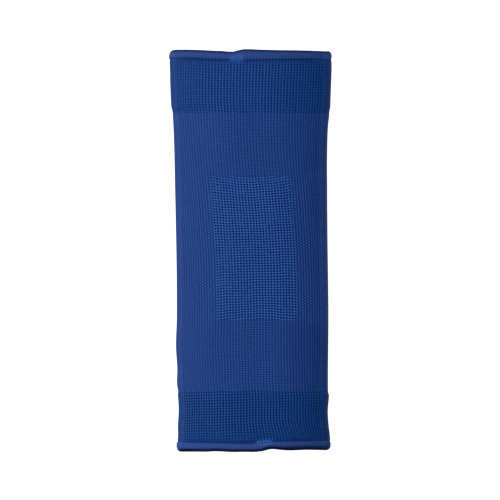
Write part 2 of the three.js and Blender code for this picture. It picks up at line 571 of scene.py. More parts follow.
@dataclass
class Skin:
    """A closed mesh gathered from grids of points."""

    points: List[Array] = field(default_factory=list)
    corners: List[Array] = field(default_factory=list)
    knits: List[Array] = field(default_factory=list)
    sides: List[Array] = field(default_factory=list)
    count: int = 0
    sharp_angle: float = math.radians(65)

    def grid(self, points: Array, wale: Array, course: Array, wrap: float = 0.0) -> Sheet:
        """Adds a grid of points.

        Args:
            points: Rows and columns of points.
            wale: Each point's wale number.
            course: Each point's course number.
            wrap: Wales all round, where the last column joins the first one, or 0 where it doesn't.

        Returns:
            The grid's numbers, with the first column repeated at the end where it wraps.
        """
        shape = points.shape[:2]
        numbers = self.count + np.arange(shape[0] * shape[1]).reshape(shape)
        knit = np.stack(np.broadcast_arrays(wale, course, np.empty(shape))[:2], axis=-1)
        self.points.append(points.reshape(-1, 3))
        self.count += numbers.size
        if wrap:
            numbers = np.concatenate([numbers, numbers[:, :1]], axis=1)
            knit = np.concatenate([knit, knit[:, :1] + (wrap, 0)], axis=1)
        return Sheet(numbers, knit)

    def faces(self, corners: Array, knits: Array, flip: bool) -> None:
        """Adds faces of one kind.

        Args:
            corners: A row of point numbers for each face.
            knits: The corners' places in the knit.
            flip: Whether the faces are turned over.
        """
        order = slice(None, None, -1) if flip else slice(None)
        self.corners.append(corners[:, order].ravel())
        self.knits.append(knits[:, order].reshape(-1, 2))
        self.sides.append(np.full(len(corners), corners.shape[1]))

    def quads(self, sheet: Sheet, flip: bool = False, keep: Optional[Array] = None) -> None:
        """Fills a grid with four-sided faces that face the cross of its columns' and rows' directions.

        Args:
            sheet: The grid.
            flip: Whether the faces look the other way.
            keep: Which faces to make, as rows and columns of true and false, or all of them.
        """
        chosen = np.ones(np.subtract(sheet.numbers.shape, 1), bool) if keep is None else keep
        starts = ((0, 0), (0, 1), (1, 1), (1, 0))
        tall, wide = chosen.shape
        corners = [sheet.numbers[i : i + tall, j : j + wide][chosen] for i, j in starts]
        knits = [sheet.knit[i : i + tall, j : j + wide][chosen] for i, j in starts]
        self.faces(np.stack(corners, axis=1), np.stack(knits, axis=1), flip)

    def rim(self, outer: Sheet, inner: Sheet, flip: bool = False) -> None:
        """Joins a line of the outer face to the inner face's, which has every second point of it.

        Each face has two edges on the outer line and one on the inner one, and looks along the cross of the
        line's direction and the way inwards.

        Args:
            outer: The outer line.
            inner: The inner line.
            flip: Whether the faces look the other way.
        """
        numbers = (outer.numbers[0:-2:2], outer.numbers[1:-1:2], outer.numbers[2::2])
        knits = (outer.knit[0:-2:2], outer.knit[1:-1:2], outer.knit[2::2])
        corners = np.stack([*numbers, inner.numbers[1:], inner.numbers[:-1]], axis=1)
        places = np.stack([*knits, inner.knit[1:], inner.knit[:-1]], axis=1)
        self.faces(corners, places, flip)

    def wall(
        self,
        form: SleeveForm,
        outside: Array,
        wale: Array,
        place: Array,
        course: Array,
        wrap: float = 0.0,
        pull: Number = 0.0,
        keep: Optional[Array] = None,
    ) -> Tuple[Sheet, Sheet]:
        """Adds a wall: its outer grid, a plain inner grid of half its fineness, and their end rims.

        Args:
            form: The sleeve's form.
            outside: The outer face's points.
            wale: Their wale numbers.
            place: Their places along the sleeve.
            course: Their course numbers.
            wrap: Wales all round, or 0 where the wall has two side edges.
            pull: How far the wall is pulled round the sleeve.
            keep: Which outer faces to make, or all of them.

        Returns:
            The outer and the inner grid.
        """
        shape = outside.shape[:2]
        grids = (np.broadcast_to(values, shape)[::2, ::2] for values in (wale, place, course, pull))
        inner_wale, inner_place, inner_course, inner_pull = grids
        inside = form.face(inner_wale, inner_place, form.wall, pull=inner_pull)
        outer = self.grid(outside, wale, course, wrap)
        inner = self.grid(inside, inner_wale, inner_course, wrap)
        whole = slice(None)
        self.quads(outer, keep=keep)
        self.quads(inner, flip=True, keep=None if keep is None else keep[::2, ::2])
        self.rim(outer.line(-1, whole), inner.line(-1, whole))
        self.rim(outer.line(0, whole), inner.line(0, whole), flip=True)
        return outer, inner

    def ring(
        self, points: Array, wale: Array, course: Array, wrap: float, rounds: float, flip: bool = False
    ) -> None:
        """Adds a closed ring: a grid that wraps, whose last row joins its first one too.

        Args:
            points: Rows and columns of points.
            wale: Each point's wale number.
            course: Each point's course number.
            wrap: Wales all round.
            rounds: Courses from the first row round to it again.
            flip: Whether the faces look the other way.
        """
        first = self.grid(points, wale, course, wrap)
        closing = Sheet(first.numbers[:1], first.knit[:1] + (0, rounds))
        self.quads(Sheet(*(np.concatenate(pair) for pair in zip(first, closing))), flip)

    def object(self, name: str, marks: Dict[Mark, Array]) -> bpy.types.Object:
        """Makes the mesh and puts it into the scene.

        Args:
            name: The piece's name.
            marks: Numbers to keep on the points, for the first grid. The other points have their mean.

        Returns:
            The piece, with its places in the knit as a UV map.
        """
        corners = np.concatenate(self.corners)
        sides = np.concatenate(self.sides)
        mesh = bpy.data.meshes.new(name)
        mesh.vertices.add(self.count)
        mesh.vertices.foreach_set("co", np.concatenate(self.points).astype(np.float32).ravel())
        mesh.loops.add(len(corners))
        mesh.loops.foreach_set("vertex_index", corners.astype(np.int32))
        mesh.polygons.add(len(sides))
        mesh.polygons.foreach_set("loop_start", (np.cumsum(sides) - sides).astype(np.int32))
        mesh.update(calc_edges=True)
        layer = mesh.uv_layers.new(name=KnitFinish.uv_map)
        layer.uv.foreach_set("vector", np.concatenate(self.knits).astype(np.float32).ravel())
        for mark, values in marks.items():
            whole = np.full(self.count, values.mean(), np.float32)
            whole[: values.size] = values.ravel()
            mesh.attributes.new(mark.value, "FLOAT", "POINT").data.foreach_set("value", whole)
        mesh.shade_smooth()
        mesh.set_sharp_from_angle(angle=self.sharp_angle)
        made = bpy.data.objects.new(name, mesh)
        bpy.context.scene.collection.objects.link(made)
        return made


class Value:
    """A shader value that adds Math nodes where it is used in an expression."""

    def __init__(self, graph: "Graph", socket: bpy.types.NodeSocket) -> None:
        """Wraps a socket of that graph."""
        self.graph = graph
        self.socket = socket

    def __add__(self, other: Union["Value", float]) -> "Value":
        """Sum."""
        return self.graph.math("ADD", self, other)

    __radd__ = __add__

    def __sub__(self, other: Union["Value", float]) -> "Value":
        """Difference."""
        return self.graph.math("SUBTRACT", self, other)

    def __rsub__(self, other: float) -> "Value":
        """Difference from a number."""
        return self.graph.math("SUBTRACT", other, self)

    def __mul__(self, other: Union["Value", float]) -> "Value":
        """Product."""
        return self.graph.math("MULTIPLY", self, other)

    __rmul__ = __mul__

    def cos(self) -> "Value":
        """Cosine."""
        return self.graph.math("COSINE", self)

    def zigzag(self, height: float) -> "Value":
        """Straight waves that rise to height and fall back over twice that length."""
        return self.graph.math("PINGPONG", self, height)


class Noise(NamedTuple):
    """A soft random pattern: its scale in a metre, and how much finer detail it has."""

    scale: float
    detail: float


class Graph:
    """A material's node tree."""

    def __init__(self, name: str) -> None:
        """Starts a material with an empty tree.

        Args:
            name: The material's name.
        """
        self.material = bpy.data.materials.new(name)
        self.material.use_nodes = True
        self.tree = self.material.node_tree
        self.tree.nodes.clear()

    def node(self, kind: str, settings: Dict[str, Any], inputs: Dict[Any, Any]) -> bpy.types.Node:
        """Adds a node.

        Args:
            kind: The node's type, without its family's prefix.
            settings: Its properties, set first.
            inputs: Values or links by a socket's name, identifier or number.

        Returns:
            The node.
        """
        made = self.tree.nodes.new("ShaderNode" + kind)
        for key, value in settings.items():
            setattr(made, key, value)
        named = {socket.name: socket for socket in reversed(made.inputs)}
        named.update({socket.identifier: socket for socket in made.inputs})
        for key, value in inputs.items():
            socket = made.inputs[key] if isinstance(key, int) else named[key]
            source = value.socket if isinstance(value, Value) else value
            if isinstance(source, bpy.types.NodeSocket):
                self.tree.links.new(source, socket)
            else:
                socket.default_value = source
        return made

    def math(self, operation: str, *values: Union[Value, float]) -> Value:
        """One Math node."""
        made = self.node("Math", {"operation": operation}, dict(enumerate(values)))
        return Value(self, made.outputs[0])

    def mark(self, mark: Mark) -> Value:
        """A number kept on the mesh's points."""
        return Value(self, self.node("Attribute", {"attribute_name": mark.value}, {}).outputs["Fac"])

    def noise(self, noise: Noise) -> Value:
        """Adds soft random values in the piece's own coordinates.

        Args:
            noise: The pattern.

        Returns:
            Values from -0.5 to 0.5.
        """
        place = self.node("TexCoord", {}, {}).outputs["Object"]
        made = self.node("TexNoise", {}, {"Vector": place, "Scale": noise.scale, "Detail": noise.detail})
        return Value(self, made.outputs["Fac"]) - 0.5

    def mix(self, share: Value, first: Any, second: Any) -> bpy.types.NodeSocket:
        """Mixes two colours by a share."""
        inputs = {"Factor_Float": share, "A_Color": first, "B_Color": second}
        return self.node("Mix", {"data_type": "RGBA"}, inputs).outputs[2]

    def scaled(self, colour: bpy.types.NodeSocket, value: Value) -> bpy.types.NodeSocket:
        """Multiplies a colour by a value."""
        grey = self.node("CombineXYZ", {}, {0: value, 1: value, 2: value}).outputs[0]
        return self.node("VectorMath", {"operation": "MULTIPLY"}, {0: colour, 1: grey}).outputs[0]


def opaque(colour: Colour) -> Tuple[float, float, float, float]:
    """A colour with full alpha."""
    return (*colour, 1.0)


@dataclass(frozen=True)
class KnitFinish:
    """A knitted yarn: glossy ridges, hollows partly darkened by painted shade, and fine legs and fuzz in the
    bump.
    """

    slot: str
    knit: Knit
    yarn: Colour
    # The colour of the hollows between stitches, darker partly as painted shade.
    shade: Colour
    depth: float
    stitch_bump: float = 0.0
    legs: float = 0.1 * MM
    fuzz: float = 0.1 * MM
    bump_strength: float = 0.6
    grain: float = 0.65
    clouds: float = 0.15
    patches: float = 0.85
    roughness: float = 0.88
    roughness_grain: float = 0.12
    gloss: float = 0.91
    gloss_roughness: float = 0.6
    edge_gloss: float = 0.1
    strip_ribs: float = 0.85
    strip_dots: float = 0.9
    strip_patches: float = 2.7

    uv_map = "knit"
    fuzz_noise = Noise(2600.0, 2.0)
    grain_noise = Noise(420.0, 3.0)
    cloud_noise = Noise(28.0, 2.0)
    patch_noise = Noise(150.0, 1.0)
    strip_noise = Noise(110.0, 1.0)

    def stitches(self, graph: Graph, strips: bool) -> Tuple[Value, Value]:
        """Builds the pattern of the stitches from the knit's UV map, as the mesh's own relief has it.

        Dotted strips have stitches that stand half a course higher on every second wale: the product of two
        cosines, one of them half as fast across the wales.

        Args:
            graph: The material's nodes.
            strips: Whether the piece has dotted strips, marked on its points.

        Returns:
            How deep a point lies between the stitches, and the height of its stitch's slanting legs.
        """
        uv = graph.node("UVMap", {"uv_map": self.uv_map}, {}).outputs[0]
        parts = graph.node("SeparateXYZ", {}, {0: uv})
        wale = Value(graph, parts.outputs[0])
        course = Value(graph, parts.outputs[1])
        bars = self.knit.value
        across, along = (wale * TURN).cos(), (course * TURN).cos()
        wale_bite = graph.mark(Mark.WALE)
        swing = across * wale_bite * (1 - bars) + along * graph.mark(Mark.COURSE) * bars
        if strips:
            share = self.strip_dots + graph.noise(self.strip_noise) * self.strip_patches
            dots = (across * self.strip_ribs + (wale * (TURN / 2)).cos() * along * share) * wale_bite
            swing = swing + graph.mark(Mark.STRIP) * (dots - swing)
        patch = 1 + graph.noise(self.patch_noise) * self.patches
        leg = 0.5 + 0.5 * ((course + wale.zigzag(0.5)) * TURN).cos()
        return 0.5 - 0.5 * swing * patch, leg

    def material(self, strips: bool = False) -> bpy.types.Material:
        """Builds the material.

        The gloss is a coat that grows as the square of a point's height in its stitch.

        Args:
            strips: Whether the piece has dotted strips, marked on its points.

        Returns:
            The material.
        """
        graph = Graph(self.slot)
        deep, leg = self.stitches(graph, strips)
        grain = graph.noise(self.grain_noise)
        # The hollows take the shade colour, partly as painted shade.
        colour = graph.mix(deep + grain * self.grain, opaque(self.yarn), opaque(self.shade))
        raised = 1 - deep
        # Painted shade from the points darkens colour and coat; below 0 it is painted light.
        kept = 1 - graph.mark(Mark.PAINTED_SHADE)
        value = (1 + graph.noise(self.cloud_noise) * self.clouds) * kept
        gloss = raised * raised + graph.mark(Mark.FOLD) * self.edge_gloss
        height = leg * self.legs + graph.noise(self.fuzz_noise) * self.fuzz - deep * self.stitch_bump
        bump = graph.node("Bump", {}, {"Strength": self.bump_strength, "Distance": 1.0, "Height": height})
        inputs = {
            "Base Color": graph.scaled(colour, value),
            "Roughness": self.roughness + grain * self.roughness_grain,
            "Normal": bump.outputs[0],
            "Specular IOR Level": 0.0,
            "Coat Weight": gloss * value * kept * self.gloss,
            "Coat Roughness": self.gloss_roughness,
        }
        shader = graph.node("BsdfPrincipled", {}, inputs)
        graph.node("OutputMaterial", {}, {"Surface": shader.outputs[0]})
        return graph.material


BODY_KNIT = KnitFinish(
    slot="body_knit",
    knit=Knit.RIB,
    yarn=(0.0126, 0.0530, 0.2250),
    shade=(0.0026, 0.0203, 0.1265),
    depth=0.1 * MM,
    stitch_bump=0.1 * MM,
)
CUFF_KNIT = KnitFinish(
    slot="cuff_knit",
    knit=Knit.CUFF,
    yarn=(0.0030, 0.0517, 0.2205),
    shade=(0.0002, 0.0106, 0.0904),
    depth=0.4 * MM,
)
PANEL_KNIT = KnitFinish(
    slot="panel_knit",
    knit=Knit.WAFFLE,
    yarn=(0.0150, 0.0835, 0.3030),
    shade=(0.0000, 0.0045, 0.0950),
    depth=0.6 * MM,
    gloss=1.0,
)
WELT_KNIT = KnitFinish(
    slot="welt_knit",
    knit=Knit.PLAIN,
    yarn=(0.0240, 0.0590, 0.2390),
    shade=(0.0195, 0.0490, 0.2020),
    depth=0.06 * MM,
)
TACK_THREAD = KnitFinish(
    slot="tack_thread",
    knit=Knit.PLAIN,
    yarn=(0.0205, 0.1260, 0.4250),
    shade=(0.0165, 0.1040, 0.3700),
    depth=0.0,
)


def finish_piece(
    made: bpy.types.Object, node: str, look: KnitFinish, strips: bool = False
) -> bpy.types.Object:
    """Gives a piece its finish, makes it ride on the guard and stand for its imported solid.

    Args:
        made: The piece.
        node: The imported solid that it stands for.
        look: Its finish.
        strips: Whether it has dotted strips.

    Returns:
        The piece.
    """
    made.data.materials.append(look.material(strips))
    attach(made, BODY)
    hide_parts(node)
    LOG.info("%s: %d triangles", made.name, len(made.data.loops) - 2 * len(made.data.polygons))
    return made


@dataclass(frozen=True)
class PanelPlace:
    """Where the knee panel is set into the sleeve, between two wales and two places along it."""

    first_wale: int = -14
    last_wale: int = 13
    low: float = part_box("knee_panel")[0].y
    high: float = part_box("knee_panel")[1].y
    rise: float = 0.8 * MM
    rise_wales: float = 8.0
    rise_along: float = 12 * MM

    def outside(self, wale: Array) -> Array:
        """How many wales a wale lies outside the panel, or less than 0 inside it."""
        return np.maximum(self.first_wale - wale, wale - self.last_wale)

    def drawn_up(self, wale: Array, along: Array) -> Array:
        """Moves the knit up at the middle of the panel's lower edge, by a soft hump both ways.

        Args:
            wale: Wale numbers.
            along: Places along the sleeve.

        Returns:
            Places along the sleeve after the move.
        """
        across = (wale - (self.first_wale + self.last_wale) / 2) / self.rise_wales
        up = (along - self.low) / self.rise_along
        return along + self.rise * np.exp(-(across**2) - up**2)


@dataclass(frozen=True)
class SleeveBody:
    """The ribbed tube between the cuffs, with a window for the knee panel and dotted strips beside it."""

    form: SleeveForm
    panel: PanelPlace
    courses: Courses = Courses(BODY_GAUGE)
    look: KnitFinish = BODY_KNIT
    per_wale: int = 4
    end_steps: int = 36
    panel_steps: int = 78
    strip_wales: float = 6.0
    strip_start: Range = (-0.5, 0.5)
    strip_stop: Range = (-1.0, 0.5)
    strip_ends: float = 4 * MM
    rib_bite: float = 0.81
    left_faint: float = 0.2
    left_fade: float = 0.4
    fold_fade: float = 0.7
    bar_bite: float = 0.74
    bar_fade: float = 0.9
    bar_side: Range = (0.05, 0.19)
    # Painted shade on the left fold and painted light on the right one.
    fold_painted_shades: LeftRight = (0.12, -0.14)
    # Painted shade on the right, past the panel's lower and upper ends.
    end_painted_shades: Tuple[float, float] = (0.1, 0.05)
    end_blend: float = 10 * MM
    end_side: Range = (0.05, 0.17)

    def strip(self, wale: Array, along: Array) -> Array:
        """Marks the dotted strips: the wales just outside the panel, over the panel's length.

        Args:
            wale: Wale numbers.
            along: Places along the sleeve.

        Returns:
            Shares from 0 outside the strips to 1 in them.
        """
        away = self.panel.outside(wale)
        beside = smoothstep(*self.strip_start, away)
        beside = beside * (1 - smoothstep(*self.strip_stop, away - self.strip_wales))
        low, high = self.panel.low, self.panel.high
        past_low = smoothstep(low - self.strip_ends, low, along)
        past_high = smoothstep(high, high + self.strip_ends, along)
        return beside * past_low * (1 - past_high)

    def rib_bites(self, wale: Array, along: Array) -> Array:
        """Finds how strongly the ribs show: less on the left half, and hardly on the side folds.

        Args:
            wale: Wale numbers.
            along: Places along the sleeve.

        Returns:
            The ribs' strengths.
        """
        left = smoothstep(0, self.left_faint, -self.form.turn_at(wale, along))
        fold = self.form.fold_share(wale, along)
        return self.rib_bite * (1 - self.left_fade * left) * (1 - self.fold_fade * fold)

    def bar_bites(self, wale: Array, along: Array) -> Array:
        """How strongly the courses show: most on the crown's middle, and hardly on the side folds."""
        to_side = smoothstep(*self.bar_side, np.abs(self.form.turn_at(wale, along)))
        return self.bar_bite * (1 - self.bar_fade * to_side)

    def painted_shades(self, wale: Array, along: Array) -> Array:
        """Finds the painted shade on the knit: on the right past the panel's two ends, and on the side
        folds.

        Args:
            wale: Wale numbers.
            along: Places along the sleeve.

        Returns:
            Painted shades, 0 where the knit keeps its colour, and less than 0 for painted light on the right
            fold.
        """
        low, high = self.panel.low, self.panel.high
        below = self.end_painted_shades[0] * (1 - smoothstep(low - self.end_blend, low, along))
        above = self.end_painted_shades[1] * smoothstep(high, high + self.end_blend, along)
        past_ends = (below + above) * smoothstep(*self.end_side, self.form.turn_at(wale, along))
        # Painted shade past the panel's ends, and painted shade and light on the side folds.
        return past_ends + np.where(wale < 0, *self.fold_painted_shades) * self.form.fold_share(wale, along)

    def places(self) -> Array:
        """Spreads places along the sleeve, in equal steps below, beside and above the panel.

        Returns:
            The places as one column.
        """
        low, high = (corner.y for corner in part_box("sleeve_body"))
        below = np.linspace(low, self.panel.low, self.end_steps, endpoint=False)
        beside = np.linspace(self.panel.low, self.panel.high, self.panel_steps, endpoint=False)
        above = np.linspace(self.panel.high, high, self.end_steps + 1)
        return np.concatenate([below, beside, above])[:, None]

    def build(self) -> bpy.types.Object:
        """Builds the tube with raised ribs, cuts the panel's window out of both faces and rims it.

        Returns:
            The piece.
        """
        form = self.form
        along, wale = self.places(), form.all_wales(self.per_wale)
        course = self.courses.at(form, wale, along)
        marks = {
            Mark.WALE: self.rib_bites(wale, along),
            Mark.COURSE: self.bar_bites(wale, along),
            Mark.FOLD: form.fold_share(wale, along),
            # Painted shade and light on the knit.
            Mark.PAINTED_SHADE: self.painted_shades(wale, along),
            Mark.STRIP: self.strip(wale, along),
        }
        depth = self.look.depth * (hollow(wale, course, Knit.PLAIN) - 0.5) * marks[Mark.WALE]
        place = self.panel.drawn_up(wale, along)
        outside = form.face(wale, place, depth)
        low, high = self.end_steps, self.end_steps + self.panel_steps
        sides = (self.panel.first_wale, self.panel.last_wale)
        first, last = (round((form.wales / 2 + side) * self.per_wale) for side in sides)
        keep = np.ones((len(along) - 1, wale.shape[1]), bool)
        keep[low:high, first:last] = False
        skin = Skin()
        outer, inner = skin.wall(form, outside, wale, place, course, form.wales, keep=keep)
        across, across_in = slice(first, last + 1), slice(first // 2, last // 2 + 1)
        up, up_in = slice(low, high + 1), slice(low // 2, high // 2 + 1)
        skin.rim(outer.line(low, across), inner.line(low // 2, across_in))
        skin.rim(outer.line(high, across), inner.line(high // 2, across_in), flip=True)
        skin.rim(outer.line(up, first), inner.line(up_in, first // 2), flip=True)
        skin.rim(outer.line(up, last), inner.line(up_in, last // 2))
        return finish_piece(skin.object("sleeve_body_knit", marks), "sleeve_body", self.look, strips=True)


@dataclass(frozen=True)
class KneePanel:
    """The cushion of coarse waffle knit, set into the sleeve's window."""

    form: SleeveForm
    panel: PanelPlace
    courses: Courses = Courses(PANEL_GAUGE)
    look: KnitFinish = PANEL_KNIT
    per_wale: int = 6
    rows: int = 324
    swell: float = 0.5 * MM
    edge: float = 14 * MM
    end_bite: float = 0.7
    faint_end: float = 8 * MM
    left_fade: float = 0.12
    # Painted shade towards the panel's left side.
    left_painted_shade: float = 0.05

    def build(self) -> bpy.types.Object:
        """Builds the cushion: a crowned outer face with a lattice of stitches, over a plain inner face.

        The swell rises from the panel's edges by a soft step of the way in. The stitches fade at the upper
        end and to the left, and lie flat at the side edges.

        Returns:
            The piece.
        """
        form, panel = self.form, self.panel
        wales = panel.last_wale - panel.first_wale
        wale = np.linspace(panel.first_wale, panel.last_wale, wales * self.per_wale + 1)[None, :]
        along = np.linspace(panel.low, panel.high, self.rows + 1)[:, None]
        course = self.courses.at(form, wale, along)
        pitch = form.girth(np.array(0.0)) / form.wales
        to_end = np.minimum(along - panel.low, panel.high - along)
        inside = smoothstep(0, self.edge, np.minimum(-panel.outside(wale) * pitch, to_end))
        left = smoothstep(0, -panel.first_wale, -wale)
        bite = self.end_bite + (1 - self.end_bite) * smoothstep(0, self.faint_end, panel.high - along)
        bite = bite * (1 - self.left_fade * left)
        relief = (hollow(wale, course, self.look.knit) - 0.5) * bite
        relief = relief * smoothstep(0, 1, -panel.outside(wale))
        place = panel.drawn_up(wale, along)
        outside = form.face(wale, place, self.look.depth * relief - self.swell * inside)
        skin = Skin()
        outer, inner = skin.wall(form, outside, wale, place, course)
        whole = slice(None)
        skin.rim(outer.line(whole, 0), inner.line(whole, 0))
        skin.rim(outer.line(whole, -1), inner.line(whole, -1), flip=True)
        # Painted shade, growing towards the panel's left.
        painted_shade = np.broadcast_to(self.left_painted_shade * left, bite.shape)
        marks = {Mark.WALE: bite, Mark.COURSE: bite, Mark.PAINTED_SHADE: painted_shade}
        made = finish_piece(skin.object("knee_panel_knit", marks), "knee_panel", self.look)
        return made


class Side(Enum):
    """The guard's two ends, by the corner of a box that lies there."""

    LOWER = 0
    UPPER = 1


@dataclass(frozen=True)
class SleeveEnd:
    """One end of the sleeve: where its seams lie, how its edge and seam wander, and where its tack lies."""

    side: Side
    edge: SmoothTable
    sway: SmoothTable
    tack_margin: float = 1.2 * MM
    tack_fall: Range = (0.6, 1.4)
    # Painted light on the knit round the tack.
    tack_painted_light: float = 0.4

    def node(self, piece: str) -> str:
        """The name of this end's cuff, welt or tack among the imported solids."""
        return f"{self.side.name.lower()}_{piece}"

    @property
    def outwards(self) -> float:
        """1 where the end points along +Y and -1 where it points back."""
        return math.copysign(1, self.tip)

    @property
    def body(self) -> float:
        """Where the cuff meets the sleeve's body."""
        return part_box("sleeve_body")[self.side.value].y

    @property
    def seam(self) -> float:
        """Where the cuff meets the welt."""
        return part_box(self.node("cuff"))[self.side.value].y

    @property
    def tip(self) -> float:
        """Where the guard ends."""
        return CAD_BOX[self.side.value].y

    def at_tack(self, across: Array, along: Number) -> Array:
        """Marks the knit that the tack flattens, where painted light lifts it: a soft oval about the tack's
        box.

        Args:
            across: Places across the guard.
            along: Places along it.

        Returns:
            Shares from 1 at the tack to 0 away from it.
        """
        low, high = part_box(self.node("tack"))
        out_x = (across - (low.x + high.x) / 2) / ((high.x - low.x) / 2 + self.tack_margin)
        out_y = (along - (low.y + high.y) / 2) / ((high.y - low.y) / 2 + self.tack_margin)
        return 1 - smoothstep(*self.tack_fall, np.hypot(out_x, out_y))


class BandSpot(NamedTuple):
    """Where the points of a cuff lie, and their shares of the crown, of the side folds and of the tack."""

    across: Array
    height: Array
    turn: Array
    crown: Array
    fold: Array
    tack: Array
    from_welt: Array
    from_body: Array


@dataclass(frozen=True)
class Cuff:
    """A grip band of waffle knit between the sleeve's body and a welt, whose seam strays a little."""

    form: SleeveForm
    end: SleeveEnd
    courses: Courses
    look: KnitFinish = CUFF_KNIT
    proud: float = 0.8 * MM
    per_wale: int = 5
    rows: int = 118
    blend: float = 3 * MM
    crown_blend: float = 3 * MM
    plain_band: float = 3.6 * MM
    plain_share: float = 0.3
    plain_bite: float = 0.15
    groove: float = 0.9 * MM
    groove_width: float = 2.6 * MM
    groove_on_flank: float = 0.3
    calm: float = 14 * MM
    calm_fade: float = 0.0
    sway_reach: float = 14 * MM
    bite: float = 0.86
    flank: Range = (0.11, 0.2)
    flank_bites: LeftRight = (0.75, 0.8)
    bar_bites: LeftRight = (1.0, 1.0)
    bar_side: Range = (-40 * MM, 40 * MM)
    fold_fade: float = 0.7
    relief_on_flank: float = 0.2
    # Painted shade over the whole band, to the sides, on the folds and along the seam's groove; below 0 it
    # is painted light.
    painted_shade: float = 0.0
    painted_shade_side: Range = (5 * MM, 40 * MM)
    side_painted_shades: LeftRight = (0.0, 0.0)
    fold_painted_shades: LeftRight = (0.1, -0.12)
    seam_painted_shade: float = 0.0
    seam_line: float = 1.6 * MM
    pull: float = 0.0
    pull_across: float = 0.0
    pull_width: float = 24 * MM
    pull_reach: float = 20 * MM

    def pulled(self, wale: Array, along: Array) -> Array:
        """Finds how far the tack drags the wales round the sleeve: a bump across it that grows to the welt.

        Args:
            wale: Wale numbers.
            along: Places along the sleeve.

        Returns:
            Pulls round the sleeve.
        """
        near = 1 - smoothstep(0, self.pull_reach, np.abs(self.end.seam - along))
        away = (self.form.across(wale) - self.pull_across) / self.pull_width
        return self.pull * near * np.exp(-(away**2))

    def spots(self, wale: Array, along: Array, pull: Array) -> BandSpot:
        """Finds where the points of a grid lie.

        Args:
            wale: Wale numbers.
            along: Places along the sleeve.
            pull: How far they are pulled round it.

        Returns:
            Their spots.
        """
        plain = self.form.face(wale, along, pull=pull)
        crown = self.form.crown_share(wale, along)
        return BandSpot(
            across=plain[..., 0],
            height=plain[..., 2],
            turn=self.form.turn_at(wale, along),
            crown=crown,
            fold=self.form.fold_share(wale, along),
            tack=self.end.at_tack(plain[..., 0], along) * crown,
            from_welt=np.abs(self.end.seam - along),
            from_body=np.abs(along - self.end.body),
        )

    def on_front(self, spot: BandSpot) -> Array:
        """How much of the seam's groove shows: all of it on the crown and less past it."""
        return self.groove_on_flank + (1 - self.groove_on_flank) * spot.crown

    def bites(self, spot: BandSpot) -> Array:
        """Finds how strongly the stitches show: less at the welt, on the flanks and on the side folds.

        Args:
            spot: Where the points lie.

        Returns:
            The stitches' strengths.
        """
        knitted = smoothstep(self.plain_share * self.plain_band, self.plain_band, spot.from_welt)
        knitted = self.plain_bite + (1 - self.plain_bite) * knitted
        calm = 1 - self.calm_fade * (1 - smoothstep(0, self.calm, spot.from_welt))
        lost = (1 - np.where(spot.turn < 0, *self.flank_bites)) * smoothstep(*self.flank, np.abs(spot.turn))
        return self.bite * knitted * calm * (1 - lost) * (1 - self.fold_fade * spot.fold)

    def painted_shades(self, spot: BandSpot) -> Array:
        """Finds the painted shade on the knit: to the sides, on the side folds and along the seam's groove.

        Args:
            spot: Where the points lie.

        Returns:
            Painted shades, 0 where the knit keeps its colour, and less than 0 for painted light at the tack
            and on the right fold.
        """
        left = spot.across < 0
        painted_shade = self.painted_shade + np.where(left, *self.side_painted_shades) * smoothstep(*self.painted_shade_side, np.abs(spot.across))
        painted_shade = painted_shade + np.where(left, *self.fold_painted_shades) * spot.fold
        painted_shade = painted_shade + self.seam_painted_shade * (1 - smoothstep(0, self.seam_line, spot.from_welt)) * self.on_front(spot)
        # The tack's knit gets painted light in place of painted shade.
        return painted_shade * (1 - spot.tack) - self.end.tack_painted_light * spot.tack

    def build(self) -> bpy.types.Object:
        """Builds the band: an outer face with raised stitches, over a plain inner face.

        The band rises from the body's face over its first rows, and falls into a groove at the welt. Towards
        the welt its rows stray with the seam.

        Returns:
            The piece.
        """
        form, end = self.form, self.end
        along = np.linspace(*sorted((end.body, end.seam)), self.rows + 1)[:, None]
        wale = form.all_wales(self.per_wale)
        course = self.courses.at(form, wale, along)
        pull = self.pulled(wale, along)
        spot = self.spots(wale, along, pull)
        bite = self.bites(spot)
        on_flank = smoothstep(0, self.blend, spot.from_body)
        risen = on_flank + (smoothstep(0, self.crown_blend, spot.from_body) - on_flank) * spot.crown
        fall = self.groove * (1 - smoothstep(0, self.groove_width, spot.from_welt))
        fall = fall * self.on_front(spot) * (1 - spot.tack)
        relief = bite * (self.relief_on_flank + (1 - self.relief_on_flank) * spot.crown)
        depth = self.look.depth * (hollow(wale, course, self.look.knit) - 0.5) * relief + fall
        strayed = end.sway.read(spot.across) * form.front_share(spot.height)
        strayed = strayed * (1 - smoothstep(0, self.sway_reach, spot.from_welt))
        outside = form.face(wale, along - end.outwards * strayed, depth, self.proud * risen, pull)
        skin = Skin()
        skin.wall(form, outside, wale, along, course, form.wales, pull)
        left, right = self.bar_bites
        bars = bite * (left + (right - left) * smoothstep(*self.bar_side, spot.across))
        # Painted shade and light on the band.
        marks = {Mark.WALE: bite, Mark.COURSE: bars, Mark.PAINTED_SHADE: self.painted_shades(spot), Mark.FOLD: spot.fold}
        node = end.node("cuff")
        return finish_piece(skin.object(node + "_knit", marks), node, self.look)


